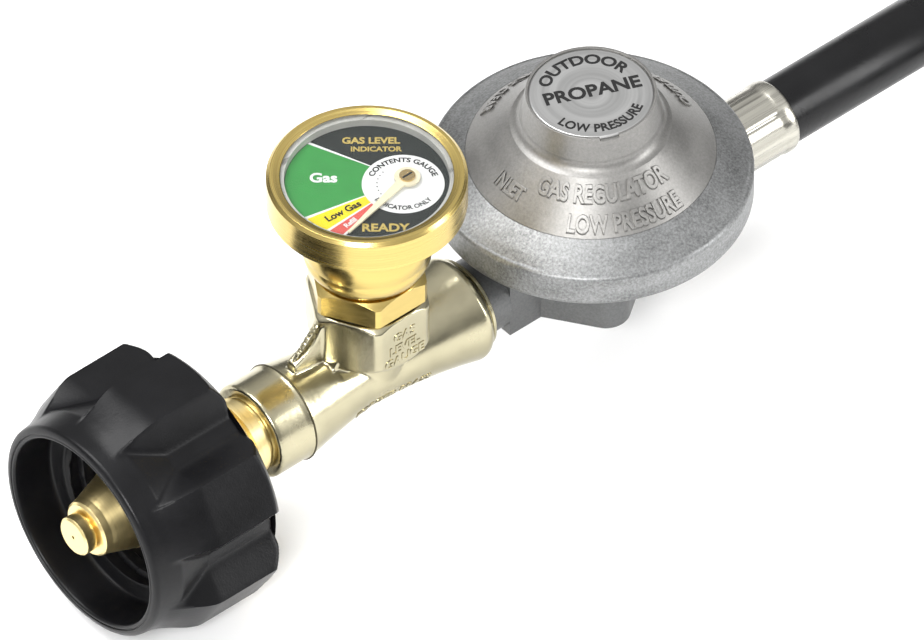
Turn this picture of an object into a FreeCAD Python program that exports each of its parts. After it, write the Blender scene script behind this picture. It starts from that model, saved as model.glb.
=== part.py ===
import FreeCAD, Part
import math
import os
from FreeCAD import Rotation, Vector

# A low-pressure gas regulator: handwheel inlet, tee with a contents gauge, regulator and hose.
# Everything is first drawn in pipe coordinates, in millimetres: X runs along the pipe from the
# tip of the inlet probe towards the hose, Z is up and the pipe's axis is the line y = 0, z = 0.
# On the way out each piece is moved so that the origin is under the middle of the hard parts.

# ---- Handwheel nut and inlet nipple ----
RIM_X = 2.0
NUT_BACK_X = 33.0
NUT_RIM_R = 23.3
NUT_SKIRT_R = 24.0
NUT_MOUTH_R = 20.8
NUT_MOUTH_DEPTH = 9.5
LOBES = 6
LOBE_R = 27.2
LOBE_HALF_WIDTH = 6.6
VALLEY_R = 22.8
GRIP_X = 8.3
GRIP_END_X = 16.2
THREAD_CREST_R = 15.6
THREAD_ROOT_R = 16.9
THREAD_PITCH = 5.08
THREAD_END_X = 26.5
BUSHING_BORE_R = 8.05
STEM_R = 8.0
STEM_RINGS_X = 38.4
RETAINER_X = 21.0
PROBE_R = 4.2
PROBE_LENGTH = 2.6
STEP_X = 3.2
STEP_R = 6.0
CONE_END_X = 15.5
CONE_END_R = 9.5

# ---- Tee ----
TEE_START_X = 45.2
TEE_COLLAR_END_X = 53.8
TEE_COLLAR_R = 10.3
TEE_END_X = 100.5
SPIGOT_END_X = 107.5
SPIGOT_R = 6.0
TEE_BORE_R = 4.5
BOSS_X = 76.0
BOSS_FLATS = 23.0
BOSS_LOW_Z = 7.5
BOSS_TOP_Z = 21.0
NIPPLE_END_X = 54.0
NIPPLE_THREAD_R = 7.5

# ---- Gauge ----
SEAL_TOP_Z = 21.5
GAUGE_HEX_FLATS = 22.0
GAUGE_HEX_TOP_Z = 27.3
GAUGE_STEM_R = 5.8
GAUGE_STEM_LOW_Z = 11.0
CUP_TOP_Z = 44.6
BEZEL_R = 20.0
BEZEL_TOP_Z = 52.5
CASE_WALL_R = 18.9
CASE_BORE_R = 17.9
DIAL_LEDGE_R = 16.8
DIAL_LOW_Z = 49.0
DIAL_TOP_Z = 49.6
LENS_LOW_Z = 51.3
LENS_TOP_Z = 52.0
PIVOT_X = 82.9
PIVOT_Y = -4.2
POINTER_ANGLE = 193.0
POINTER_LENGTH = 19.3
SECTOR_TEETH = 48
PINION_TEETH = 8
GEAR_MODULE = 0.5
SECTOR_Z = 41.0
SECTOR_THICK = 0.8
LINK_ARM = 3.0

# ---- Regulator ----
REG_X = 134.2
DISC_R = 32.6
SEAT_Z = 15.2
DIAPHRAGM_TOP_Z = 16.4
CRIMP_R = 25.1
CRIMP_TOP_Z = 21.8
TOWER_R = 13.1
TOWER_TOP_Z = 38.0
CAP_R = 12.6
CHAMBER_TURN = 35.0
CHAMBER_HALF_LENGTH = 19.8
CHAMBER_HALF_WIDTH = 12.0
CHAMBER_LOW_Z = -7.25
CAVITY_LOW_Z = -5.6
BLOCK_HALF_WIDTH = 7.25
LEVER_PIVOT_X = 124.0
LEVER_PIVOT_Z = -3.7
LEVER_TIP_Z = 5.3
PLUNGER_R = 2.0
NOZZLE_END_X = 117.0
VALVE_GAP = 0.8
STEM_WINDOW_HALF = 1.5
SCREW_R = 11.4

# ---- Outlet and hose ----
FERRULE_START_X = 164.6
FERRULE_END_X = 182.8
OUTLET_FACE_X = 158.5
FERRULE_R = 7.9
HOSE_R = 7.15
HOSE_BORE_R = 4.2
HOSE_Z = 0.8
FLOOR_Z = -LOBE_R
HOSE_FLOOR_Z = FLOOR_Z + HOSE_R
COIL_X = 320.0
COIL_HIGH_Y = 26.0
OUTER_TURN_R = 79.0
INNER_TURN_R = 61.0
END_NUT_FLATS = 19.0
FITTING_Z = FLOOR_Z + END_NUT_FLATS / math.sqrt(3)
END_FERRULE_LENGTH = 20.0
FLARE_THREAD_R = 7.2

HALF_SPAN = FERRULE_END_X / 2
TO_FRAME = Vector(-HALF_SPAN, 0, LOBE_R)
UP = Vector(0, 0, 1)
ALONG = Vector(1, 0, 0)
ACROSS = Vector(0, 1, 0)


def export(name, shape):
    """Move a piece from pipe coordinates to the frame and write it."""
    placed = shape.copy()
    placed.translate(TO_FRAME)
    placed.exportStep("parts/" + name + ".step")
    count = len(placed.Solids)
    print(f"{name}: {count} solid(s), {placed.Volume:.1f} mm3, valid {placed.isValid()}")


def outline_edges(outline, spot):
    """Edges round a closed outline: a point ends a line, a pair (through, end) ends an arc."""
    edges = []
    last = spot(*outline[0])
    for step in outline[1:] + outline[:1]:
        if isinstance(step[0], tuple):
            end = spot(*step[1])
            edges.append(Part.Arc(last, spot(*step[0]), end).toShape())
        else:
            end = spot(*step)
            edges.append(Part.LineSegment(last, end).toShape())
        last = end
    return edges


def turned(outline, y=0.0, z=0.0):
    """Solid turned about a line along X, from corners given as (x, radius)."""
    edges = outline_edges(outline, lambda x, r: Vector(x, y, z + r))
    return Part.Face(Part.Wire(edges)).revolve(Vector(0, y, z), ALONG, 360)


def spun(outline, x, y=0.0):
    """Solid turned about an upright line through (x, y), from corners given as (radius, z)."""
    edges = outline_edges(outline, lambda r, z: Vector(x + r, y, z))
    return Part.Face(Part.Wire(edges)).revolve(Vector(x, y, 0), UP, 360)


def plate(outline, low_z, high_z):
    """Upright prism of an outline given as (x, y) corners."""
    edges = outline_edges(outline, lambda x, y: Vector(x, y, low_z))
    return Part.Face(Part.Wire(edges)).extrude(UP * (high_z - low_z))


def blade(outline, half_width, y=0.0):
    """Prism of an (x, z) outline, centred on y."""
    edges = outline_edges(outline, lambda x, z: Vector(x, y - half_width, z))
    return Part.Face(Part.Wire(edges)).extrude(ACROSS * (2 * half_width))


def rod(radius, start, direction, length):
    return Part.makeCylinder(radius, length, start, direction)


def pipe_rod(radius, low_x, high_x, z=0.0):
    """Cylinder along the pipe."""
    return rod(radius, Vector(low_x, 0, z), ALONG, high_x - low_x)


def post(radius, low_z, high_z, x, y=0.0):
    """Upright cylinder."""
    return rod(radius, Vector(x, y, low_z), UP, high_z - low_z)


def hexagon(across_flats, low_z, high_z, x, y=0.0):
    """Upright hexagonal bar with flats facing -Y and +Y."""
    corner_r = across_flats / math.sqrt(3)
    corners = [(x + corner_r * math.cos(math.radians(60 * k)),
                y + corner_r * math.sin(math.radians(60 * k))) for k in range(6)]
    return plate(corners, low_z, high_z)


def block(low, high):
    """Box between two corners."""
    return Part.makeBox(high[0] - low[0], high[1] - low[1], high[2] - low[2], Vector(*low))


def coil_spring(radius, wire_r, length, turns, start, direction):
    """Open-ended helical wire, made upright and then laid along a direction."""
    pitch = (length - 2 * wire_r) / turns
    path = Part.makeHelix(pitch, length - 2 * wire_r, radius)
    section = Part.Wire(Part.makeCircle(wire_r, Vector(radius, 0, 0), ACROSS))
    spring = Part.Wire(path).makePipeShell([section], True, True)
    spring.translate(Vector(0, 0, wire_r))
    spring.Placement = FreeCAD.Placement(start, Rotation(UP, direction)).multiply(spring.Placement)
    return spring


# ---- Handwheel nut ----
def lobe_outline():
    """Cross-section of the six-lobed grip: flat-topped lobes joined by hollow valleys."""
    reach = math.hypot(LOBE_R, LOBE_HALF_WIDTH)
    half_angle = math.atan2(LOBE_HALF_WIDTH, LOBE_R)
    outline = []
    for k in range(LOBES):
        middle = math.radians(90 + 360 / LOBES * k)
        valley = middle - math.radians(180 / LOBES)
        start = middle - half_angle
        end = middle + half_angle
        start_point = (reach * math.cos(start), reach * math.sin(start))
        if k == 0:
            outline.append(start_point)
        else:
            valley_point = (VALLEY_R * math.cos(valley), VALLEY_R * math.sin(valley))
            outline.append((valley_point, start_point))
        outline.append((reach * math.cos(end), reach * math.sin(end)))
    last_valley = math.radians(90 - 180 / LOBES)
    closing = (VALLEY_R * math.cos(last_valley), VALLEY_R * math.sin(last_valley))
    return outline, closing


def lobed_bar(low_x, high_x):
    outline, closing = lobe_outline()
    edges = outline_edges(outline, lambda y, z: Vector(low_x, y, z))
    edges.pop()
    first = Vector(low_x, *outline[0])
    last = Vector(low_x, *outline[-1])
    edges.append(Part.Arc(last, Vector(low_x, *closing), first).toShape())
    return Part.Face(Part.Wire(edges)).extrude(ALONG * (high_x - low_x))


def handwheel_nut():
    corner_r = math.hypot(LOBE_R, LOBE_HALF_WIDTH)
    envelope = turned([(GRIP_X, 0), (GRIP_X, NUT_SKIRT_R - 0.4), (GRIP_END_X, corner_r),
                       (NUT_BACK_X - 3.7, corner_r), (NUT_BACK_X, corner_r - 3.6), (NUT_BACK_X, 0)])
    grip = lobed_bar(GRIP_X, NUT_BACK_X).common(envelope)
    skirt = turned([(RIM_X, 0), (RIM_X, NUT_RIM_R - 0.6), (RIM_X + 0.6, NUT_RIM_R),
                    (GRIP_X, NUT_SKIRT_R), (GRIP_END_X, VALLEY_R - 0.2), (GRIP_END_X, 0)])
    mouth_end = RIM_X + NUT_MOUTH_DEPTH
    bore = [(RIM_X, 0), (RIM_X, NUT_MOUTH_R + 0.5), (RIM_X + 0.5, NUT_MOUTH_R), (mouth_end, NUT_MOUTH_R)]
    crest_x = mouth_end
    while crest_x + THREAD_PITCH < THREAD_END_X:
        bore.append((crest_x + 0.4, THREAD_CREST_R))
        bore.append((crest_x + 2.3, THREAD_CREST_R))
        bore.append((crest_x + 2.7, THREAD_ROOT_R))
        bore.append((crest_x + 4.7, THREAD_ROOT_R))
        crest_x += THREAD_PITCH
    bore.append((crest_x + 0.1, THREAD_CREST_R))
    bore.append((THREAD_END_X, THREAD_CREST_R))
    bore.append((THREAD_END_X, 11.05))
    bore.append((NUT_BACK_X, 11.05))
    bore.append((NUT_BACK_X, 0))
    return grip.fuse(skirt).cut(turned(bore)).removeSplitter()


def thermal_bushing():
    """Plastic sleeve that lets the nut turn and float on the nipple's stem."""
    return turned([(RETAINER_X + 1.2, BUSHING_BORE_R), (RETAINER_X + 1.2, 14.2), (THREAD_END_X - 0.3, 14.2),
                   (THREAD_END_X - 0.3, 11.0), (NUT_BACK_X + 1.2, 11.0), (NUT_BACK_X + 1.2, BUSHING_BORE_R)])


def nut_retaining_ring():
    """Snap ring in the back of the bushing that keeps the nut on it."""
    return turned([(NUT_BACK_X + 0.3, 11.0), (NUT_BACK_X + 0.3, 12.2),
                   (NUT_BACK_X + 1.1, 12.2), (NUT_BACK_X + 1.1, 11.0)])


def inlet_nipple():
    bore_front = 20.0
    body = turned([(STEP_X, 3.2), (STEP_X, STEP_R - 0.5), (STEP_X + 0.5, STEP_R), (5.2, STEP_R + 0.3),
                   (CONE_END_X, CONE_END_R), (RETAINER_X + 1.0, CONE_END_R), (RETAINER_X + 1.0, STEM_R),
                   (STEM_RINGS_X, STEM_R), (STEM_RINGS_X, 9.0), (STEM_RINGS_X + 1.2, 9.0),
                   (STEM_RINGS_X + 1.6, 8.2), (STEM_RINGS_X + 2.2, 8.2), (STEM_RINGS_X + 2.6, 9.0),
                   (STEM_RINGS_X + 3.6, 9.0), (STEM_RINGS_X + 4.0, 8.2), (44.2, 8.2), (44.2, NIPPLE_THREAD_R),
                   (NIPPLE_END_X, NIPPLE_THREAD_R), (NIPPLE_END_X, 4.4), (bore_front, 4.4),
                   (bore_front - 2.6, 1.8), (8.5, 1.8), (8.5, 3.2)])
    return body


def probe_tip():
    """Tip that pushes the cylinder valve open, with its small centre hole."""
    return turned([(0, 0.4), (0, PROBE_R - 0.4), (0.4, PROBE_R), (PROBE_LENGTH, PROBE_R),
                   (PROBE_LENGTH, 3.2), (8.5, 3.2), (8.5, 1.6), (1.6, 1.6), (1.6, 0.4)])


def limiter_poppet():
    """Excess-flow poppet: closes downstream on the seat when the flow is too large."""
    return turned([(27.0, 0), (27.0, 3.9), (30.0, 3.9), (30.0, 2.4), (34.5, 2.4), (36.0, 1.2), (36.0, 0)])


def limiter_spring():
    return coil_spring(3.3, 0.35, 7.8, 5, Vector(30.2, 0, 0), ALONG)


def limiter_seat():
    return turned([(38.2, 1.7), (38.2, 4.4), (42.0, 4.4), (42.0, 1.7)])


# ---- Tee ----
def tee_tube():
    """Turned outline of the cast tube, with a round-bottomed waist between its two swellings."""
    return turned([(TEE_START_X, 0), (TEE_START_X, TEE_COLLAR_R - 0.5), (TEE_START_X + 0.5, TEE_COLLAR_R),
                   (TEE_COLLAR_END_X - 0.4, TEE_COLLAR_R), (TEE_COLLAR_END_X, TEE_COLLAR_R + 0.3),
                   ((60.5, 9.4), (71.0, 8.0)), ((84.5, 8.9), (97.6, 11.2)),
                   ((99.8, 10.8), (TEE_END_X, 9.4)), (TEE_END_X, SPIGOT_R), (SPIGOT_END_X, SPIGOT_R),
                   (SPIGOT_END_X, 0)])


def tee_body():
    boss = hexagon(BOSS_FLATS, BOSS_LOW_Z, BOSS_TOP_Z, BOSS_X)
    corner_r = BOSS_FLATS / math.sqrt(3)
    rounding = spun([(0, BOSS_LOW_Z), (10.8, BOSS_LOW_Z), (corner_r - 0.4, BOSS_LOW_Z + 2.2),
                     (corner_r - 0.4, BOSS_TOP_Z - 1.2), (BOSS_FLATS / 2, BOSS_TOP_Z),
                     (0, BOSS_TOP_Z)], BOSS_X)
    root = spun([(0, 0), (8.0, 0), (8.3, 4.0), ((9.0, 6.6), (11.3, BOSS_LOW_Z + 0.6)),
                 (0, BOSS_LOW_Z + 0.6)], BOSS_X)
    rib = blade([(55.5, 6.0), (56.3, 12.2), ((60.8, 15.2), (63.6, 19.8)), (66.5, 19.8), (70.0, 6.0)], 1.3)
    web = blade([(60.5, 6.0), ((64.0, 8.6), (66.0, 13.0)), (70.0, 13.0), (70.0, 6.0)], 4.0)
    solid = tee_tube().fuse([boss.common(rounding), root, rib, web])
    bore = turned([(TEE_START_X, 0), (TEE_START_X, NIPPLE_THREAD_R), (NIPPLE_END_X + 0.4, NIPPLE_THREAD_R),
                   (NIPPLE_END_X + 2.4, TEE_BORE_R), (104.0, TEE_BORE_R), (SPIGOT_END_X, 3.4),
                   (SPIGOT_END_X, 0)])
    gauge_bore = post(GAUGE_STEM_R, 9.0, BOSS_TOP_Z, BOSS_X)
    way_up = post(2.0, 0, 9.0, BOSS_X)
    return solid.cut([bore, gauge_bore, way_up]).removeSplitter()


def tee_end_ring():
    """Bright washer between the tee and the regulator's inlet."""
    return turned([(TEE_END_X, SPIGOT_R), (TEE_END_X, 9.4), (TEE_END_X + 0.3, 9.8),
                   (TEE_END_X + 0.9, 9.8), (TEE_END_X + 1.2, 9.4), (TEE_END_X + 1.2, SPIGOT_R)])


# ---- Gauge ----
def gauge_seal_washer():
    return spun([(GAUGE_STEM_R, BOSS_TOP_Z), (10.6, BOSS_TOP_Z), (10.6, SEAL_TOP_Z),
                 (GAUGE_STEM_R, SEAL_TOP_Z)], BOSS_X)


def gauge_case():
    """Brass hexagon, threaded stem and cup in one turned piece."""
    corner_r = GAUGE_HEX_FLATS / math.sqrt(3)
    chamfers = spun([(0, SEAL_TOP_Z), (corner_r - 0.3, SEAL_TOP_Z), (corner_r - 0.3, GAUGE_HEX_TOP_Z - 1.2),
                     (GAUGE_HEX_FLATS / 2, GAUGE_HEX_TOP_Z), (0, GAUGE_HEX_TOP_Z)], BOSS_X)
    hexagon_part = hexagon(GAUGE_HEX_FLATS, SEAL_TOP_Z, GAUGE_HEX_TOP_Z, BOSS_X).common(chamfers)
    cup = spun([(0, GAUGE_HEX_TOP_Z - 0.5), (9.4, GAUGE_HEX_TOP_Z - 0.5), (9.4, GAUGE_HEX_TOP_Z),
                ((12.1, 29.4), (12.9, 33.0)), ((13.0, 36.4), (12.4, 39.2)),
                ((13.9, 42.6), (18.2, CUP_TOP_Z)), (CASE_WALL_R, CUP_TOP_Z), (CASE_WALL_R, 50.6),
                (0, 50.6)], BOSS_X)
    hollow = spun([(0, 29.4), (10.6, 29.4), (11.2, 33.0), (11.2, 39.2), (11.8, 42.6), (15.4, 45.8),
                   (DIAL_LEDGE_R, 46.6), (DIAL_LEDGE_R, DIAL_LOW_Z), (CASE_BORE_R, DIAL_LOW_Z),
                   (CASE_BORE_R, 50.6), (0, 50.6)], BOSS_X)
    stem = post(GAUGE_STEM_R, GAUGE_STEM_LOW_Z, SEAL_TOP_Z, BOSS_X)
    gas_way = post(1.2, GAUGE_STEM_LOW_Z, 29.4, BOSS_X)
    return hexagon_part.fuse([cup, stem]).cut([hollow, gas_way]).removeSplitter()


def gauge_bezel():
    return spun([(CASE_WALL_R, CUP_TOP_Z), (BEZEL_R - 0.5, CUP_TOP_Z), (BEZEL_R, CUP_TOP_Z + 0.5),
                 (BEZEL_R, BEZEL_TOP_Z - 0.7), (BEZEL_R - 0.7, BEZEL_TOP_Z), (18.6, BEZEL_TOP_Z),
                 (17.2, LENS_TOP_Z), (CASE_BORE_R, LENS_TOP_Z), (CASE_BORE_R, 50.6), (CASE_WALL_R, 50.6)],
                BOSS_X)


def lens_gasket():
    return spun([(16.4, DIAL_TOP_Z), (CASE_BORE_R, DIAL_TOP_Z), (CASE_BORE_R, LENS_LOW_Z),
                 (16.4, LENS_LOW_Z)], BOSS_X)


def gauge_lens():
    return post(CASE_BORE_R, LENS_LOW_Z, LENS_TOP_Z, BOSS_X)


def dial_plate():
    disc = post(CASE_BORE_R, DIAL_LOW_Z, DIAL_TOP_Z, BOSS_X)
    return disc.cut(post(1.1, DIAL_LOW_Z, DIAL_TOP_Z, PIVOT_X, PIVOT_Y))


def turn_about(shape, x, y, degrees):
    turned_shape = shape.copy()
    turned_shape.rotate(Vector(x, y, 0), UP, degrees)
    return turned_shape


def pointer():
    """Tapered needle on its round boss; the needle lies along its rest angle."""
    low = DIAL_TOP_Z + 0.6
    high = low + 0.4
    needle = plate([(PIVOT_X + 1.5, PIVOT_Y - 1.0), (PIVOT_X + POINTER_LENGTH, PIVOT_Y - 0.25),
                    (PIVOT_X + POINTER_LENGTH, PIVOT_Y + 0.25), (PIVOT_X + 1.5, PIVOT_Y + 1.0)], low, high)
    boss = post(2.6, low, high, PIVOT_X, PIVOT_Y)
    hole = post(0.6, low, high, PIVOT_X, PIVOT_Y)
    return turn_about(needle.fuse(boss).cut(hole).removeSplitter(), PIVOT_X, PIVOT_Y, POINTER_ANGLE)


def pointer_hub():
    low = DIAL_TOP_Z + 0.3
    wide = post(1.6, DIAL_TOP_Z + 1.0, DIAL_TOP_Z + 1.4, PIVOT_X, PIVOT_Y)
    under = post(1.6, low, DIAL_TOP_Z + 0.6, PIVOT_X, PIVOT_Y)
    hole = post(0.6, low, DIAL_TOP_Z + 1.4, PIVOT_X, PIVOT_Y)
    return Part.makeCompound([wide.cut(hole), under.cut(hole)])


def gear_outline(teeth, first, count, x, y, root_r, tip_r, phase, fatness):
    """Corners of gear teeth, given as (x, y), from tooth number first on."""
    step = 2 * math.pi / teeth
    corners = []
    for k in range(first, first + count):
        middle = phase + step * k
        for offset, radius in ((-fatness, root_r), (-fatness * 0.5, tip_r), (fatness * 0.5, tip_r),
                               (fatness, root_r)):
            angle = middle + offset * step
            corners.append((x + radius * math.cos(angle), y + radius * math.sin(angle)))
    return corners


def sector_pivot():
    """The sector's pivot, one gear distance from the pointer's, across the cup."""
    distance = GEAR_MODULE * (SECTOR_TEETH + PINION_TEETH) / 2
    angle = math.radians(149.0)
    return PIVOT_X + distance * math.cos(angle), PIVOT_Y + distance * math.sin(angle)


def line_of_centres():
    """Direction from the sector's pivot to the pinion, in radians."""
    x, y = sector_pivot()
    return math.atan2(PIVOT_Y - y, PIVOT_X - x)


def pinion_arbor():
    """Pinion and its arbor, which carries the pointer."""
    pitch_r = GEAR_MODULE * PINION_TEETH / 2
    phase = line_of_centres() + math.pi + math.pi / PINION_TEETH
    corners = gear_outline(PINION_TEETH, 0, PINION_TEETH, PIVOT_X, PIVOT_Y, pitch_r - 0.6, pitch_r + 0.35,
                           phase, 0.24)
    gear = plate(corners, SECTOR_Z - 0.3, SECTOR_Z + SECTOR_THICK + 0.3)
    arbor = post(0.6, 39.0, DIAL_TOP_Z + 1.4, PIVOT_X, PIVOT_Y)
    return gear.fuse(arbor).removeSplitter()


def sector_gear():
    """Toothed sector with an arm on the far side for the link."""
    x, y = sector_pivot()
    pitch_r = GEAR_MODULE * SECTOR_TEETH / 2
    middle = line_of_centres()
    teeth = gear_outline(SECTOR_TEETH, -3, 7, x, y, pitch_r - 0.6, pitch_r + 0.35, middle, 0.24)
    outline = [(x + 1.4 * math.cos(middle - 1.6), y + 1.4 * math.sin(middle - 1.6))] + teeth
    outline.append((x + 1.4 * math.cos(middle + 1.6), y + 1.4 * math.sin(middle + 1.6)))
    high = SECTOR_Z + SECTOR_THICK
    fan = plate(outline, SECTOR_Z, high)
    hub = post(1.6, SECTOR_Z, high, x, y)
    arm_end = (x + LINK_ARM * math.cos(middle + math.pi / 2), y + LINK_ARM * math.sin(middle + math.pi / 2))
    arm = turn_about(block((x, y - 0.6, SECTOR_Z), (x + LINK_ARM, y + 0.6, high)), x, y,
                     math.degrees(middle) + 90)
    eye = post(0.9, SECTOR_Z, high, *arm_end)
    bore = post(0.65, SECTOR_Z, high, x, y)
    pin_hole = post(0.35, SECTOR_Z, high, *arm_end)
    return fan.fuse([hub, arm, eye]).cut([bore, pin_hole]).removeSplitter()


def link_pin():
    """Where the link joins the sector's arm."""
    x, y = sector_pivot()
    angle = line_of_centres() + math.pi / 2
    return x + LINK_ARM * math.cos(angle), y + LINK_ARM * math.sin(angle)


def sector_arbor():
    x, y = sector_pivot()
    return post(0.6, 39.0, 44.2, x, y)


def tip_link():
    """Small link between the tube's tip and the sector's arm, with its pivot pin."""
    x, y = link_pin()
    low = SECTOR_Z + SECTOR_THICK + 0.05
    bar = plate([(x - 0.6, y - 0.4), (x + 0.6, y - 0.4), (x + 0.6, y + 3.2), (x - 0.6, y + 3.2)],
                low, low + 0.5)
    pin = post(0.3, SECTOR_Z - 0.3, low + 0.5, x, y)
    return bar.fuse(pin).removeSplitter()


def movement_plate(low, high, holes_r):
    disc = post(10.4, low, high, BOSS_X).common(block((BOSS_X - 9.6, -10.4, low), (BOSS_X + 10.4, 7.6, high)))
    x, y = sector_pivot()
    return disc.cut([post(holes_r, low, high, PIVOT_X, PIVOT_Y), post(0.6, low, high, x, y)])


def movement_plate_lower():
    return movement_plate(39.2, 40.0, 0.65)


def movement_plate_upper():
    return movement_plate(43.2, 44.0, 0.65)


PILLAR_SPOTS = [(BOSS_X - 7.8, -5.6), (BOSS_X + 0.4, -9.2), (BOSS_X + 7.6, 5.6)]


def movement_pillars():
    """Three spacer pillars between the movement plates."""
    return Part.makeCompound([post(0.9, 40.0, 43.2, x, y) for x, y in PILLAR_SPOTS])


def tube_socket():
    """Block over the gas way that holds the fixed end of the tube."""
    base = post(5.0, 29.4, 33.0, BOSS_X)
    mount = block((BOSS_X - 9.0, -2.2, 31.0), (BOSS_X + 2.0, 2.2, 37.6))
    riser = block((BOSS_X - 3.0, -3.0, 33.0), (BOSS_X + 3.0, 3.0, 39.2))
    gas_way = post(1.2, 29.4, 36.0, BOSS_X)
    side_way = rod(0.8, Vector(BOSS_X, 0, 35.6), Vector(-1, 0, 0), 7.8)
    return base.fuse([mount, riser]).cut([gas_way, side_way]).removeSplitter()


def bourdon_tube():
    """Flattened tube bent into most of a circle; it straightens as the pressure rises."""
    section = block((BOSS_X - 9.0, -2.2, 34.2), (BOSS_X - 7.6, -2.1, 37.0))
    face = [f for f in section.Faces if abs(f.normalAt(0, 0).y + 1) < 1e-6][0]
    return face.revolve(Vector(BOSS_X, 0, 0), UP, 205)


# ---- Regulator ----
def rounded_oblong(half_length, half_width, corner_r, low_z, high_z):
    """Oblong block with rounded upright corners, turned to the lever chamber's angle."""
    shape = Part.makeBox(2 * half_length, 2 * half_width, high_z - low_z,
                         Vector(REG_X - half_length, -half_width, low_z))
    upright = [e for e in shape.Edges if abs(e.Vertexes[0].Z - e.Vertexes[-1].Z) > 1]
    return turn_about(shape.makeFillet(corner_r, upright), REG_X, 0, CHAMBER_TURN)


def regulator_body():
    """Lower casting: inlet neck, lever chamber, diaphragm bowl and the lip rolled over the bonnet."""
    dish = spun([(0, 5.2), (12.0, 5.2), ((22.0, 6.0), (29.2, 9.4)), (31.2, 10.4),
                 ((32.2, 10.9), (DISC_R, 12.0)), (DISC_R, 16.8), ((32.3, 17.8), (31.5, 18.2)),
                 (29.5, 19.4), (CRIMP_R, CRIMP_TOP_Z),
                 (CRIMP_R, 20.0), (28.8, 18.0), (28.8, SEAT_Z), (23.0, SEAT_Z), (22.0, 8.4), (0, 8.4)], REG_X)
    chamber = rounded_oblong(CHAMBER_HALF_LENGTH, CHAMBER_HALF_WIDTH, 5.0, CHAMBER_LOW_Z, 7.4)
    cavity = rounded_oblong(16.0, 7.5, 2.5, CAVITY_LOW_Z, 9.0)
    neck = turned([(TEE_END_X + 1.2, 0), (TEE_END_X + 1.2, 8.0), (107.0, 8.0), (107.0, 0)])
    way = BLOCK_HALF_WIDTH
    inlet_block = block((107.0, -way, CHAMBER_LOW_Z), (122.0, way, 8.0))
    outlet_block = block((146.0, -way, CHAMBER_LOW_Z), (OUTLET_FACE_X, way, 8.0))
    solid = dish.fuse([chamber, neck, inlet_block, outlet_block]).cut(cavity)
    lug_low = CAVITY_LOW_Z - 0.1
    lugs = [block((LEVER_PIVOT_X - 1.6, side * 2.9 - 0.8, lug_low),
                  (LEVER_PIVOT_X + 1.6, side * 2.9 + 0.8, LEVER_PIVOT_Z + 1.5)) for side in (-1, 1)]
    solid = solid.fuse(lugs)
    inlet_bore = turned([(TEE_END_X + 1.2, 0), (TEE_END_X + 1.2, SPIGOT_R), (SPIGOT_END_X + 0.5, SPIGOT_R),
                         (SPIGOT_END_X + 0.5, 4.6), (118.4, 4.6), (118.4, PLUNGER_R + 0.05),
                         (127.0, PLUNGER_R + 0.05), (127.0, 0)])
    pin_bore = rod(0.7, Vector(LEVER_PIVOT_X, -3.7, LEVER_PIVOT_Z), ACROSS, 7.4)
    outlet_bore = pipe_rod(5.0, 146.5, OUTLET_FACE_X, HOSE_Z).fuse(pipe_rod(3.0, 140.0, 147.0, HOSE_Z))
    return solid.cut([inlet_bore, pin_bore, outlet_bore]).removeSplitter()


def bonnet():
    """Upper cover: clamping flange, cone and screw tower."""
    outer = spun([(22.6, DIAPHRAGM_TOP_Z), (28.6, DIAPHRAGM_TOP_Z), (28.6, 17.9), (CRIMP_R - 0.05, 19.9),
                  (CRIMP_R - 0.05, CRIMP_TOP_Z), (16.2, 30.0), ((14.6, 31.2), (14.2, 32.7)),
                  (TOWER_R, TOWER_TOP_Z), (CAP_R, TOWER_TOP_Z), (CAP_R, 36.9), (SCREW_R + 0.06, 36.9),
                  (SCREW_R + 0.06, 29.4), (13.4, 28.6), (22.6, 20.0)], REG_X)
    vent = rod(1.0, Vector(REG_X, 18.0, 20.0), Vector(0, 0.5, 0.87), 12.0)
    notch = block((REG_X - 14.0, -2.0, 37.3), (REG_X - 12.0, 2.0, TOWER_TOP_Z + 1))
    return outer.cut([vent, turn_about(notch, REG_X, 0, 66.0)])


def diaphragm():
    """Rubber sheet with one rolled convolution, clamped at its edge."""
    return spun([(2.5, SEAT_Z), (16.0, SEAT_Z), ((19.2, SEAT_Z + 1.6), (22.4, SEAT_Z)), (28.6, SEAT_Z),
                 (28.6, DIAPHRAGM_TOP_Z), (22.4, DIAPHRAGM_TOP_Z), ((19.2, DIAPHRAGM_TOP_Z + 1.6),
                 (16.0, DIAPHRAGM_TOP_Z)), (2.5, DIAPHRAGM_TOP_Z)], REG_X)


def diaphragm_plate():
    low = DIAPHRAGM_TOP_Z
    return spun([(2.5, low), (14.6, low), (15.4, low + 1.8), (14.8, low + 1.8), (14.1, low + 0.9),
                 (2.5, low + 0.9)], REG_X)


def diaphragm_stem():
    """Stem through the diaphragm, with a window for the lever's tip."""
    rod_part = spun([(0, LEVER_TIP_Z - 3.0), (2.5, LEVER_TIP_Z - 3.0), (2.5, 14.0), (5.0, 14.0),
                     (5.0, SEAT_Z), (2.5, SEAT_Z), (2.5, 21.0), (0, 21.0)], REG_X)
    window = block((REG_X - 3, -1.3, LEVER_TIP_Z - STEM_WINDOW_HALF),
                   (REG_X + 3, 1.3, LEVER_TIP_Z + STEM_WINDOW_HALF))
    return rod_part.cut(window)


def stem_nut():
    low = DIAPHRAGM_TOP_Z + 0.9
    return hexagon(8.0, low, low + 2.4, REG_X).cut(post(2.5, low, low + 2.4, REG_X))


def main_spring():
    low = DIAPHRAGM_TOP_Z + 0.9
    return coil_spring(9.0, 0.6, 32.4 - low, 5, Vector(REG_X, 0, low), UP)


def spring_washer():
    return spun([(3.0, 32.4), (10.8, 32.4), (10.8, 33.2), (3.0, 33.2)], REG_X)


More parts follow.
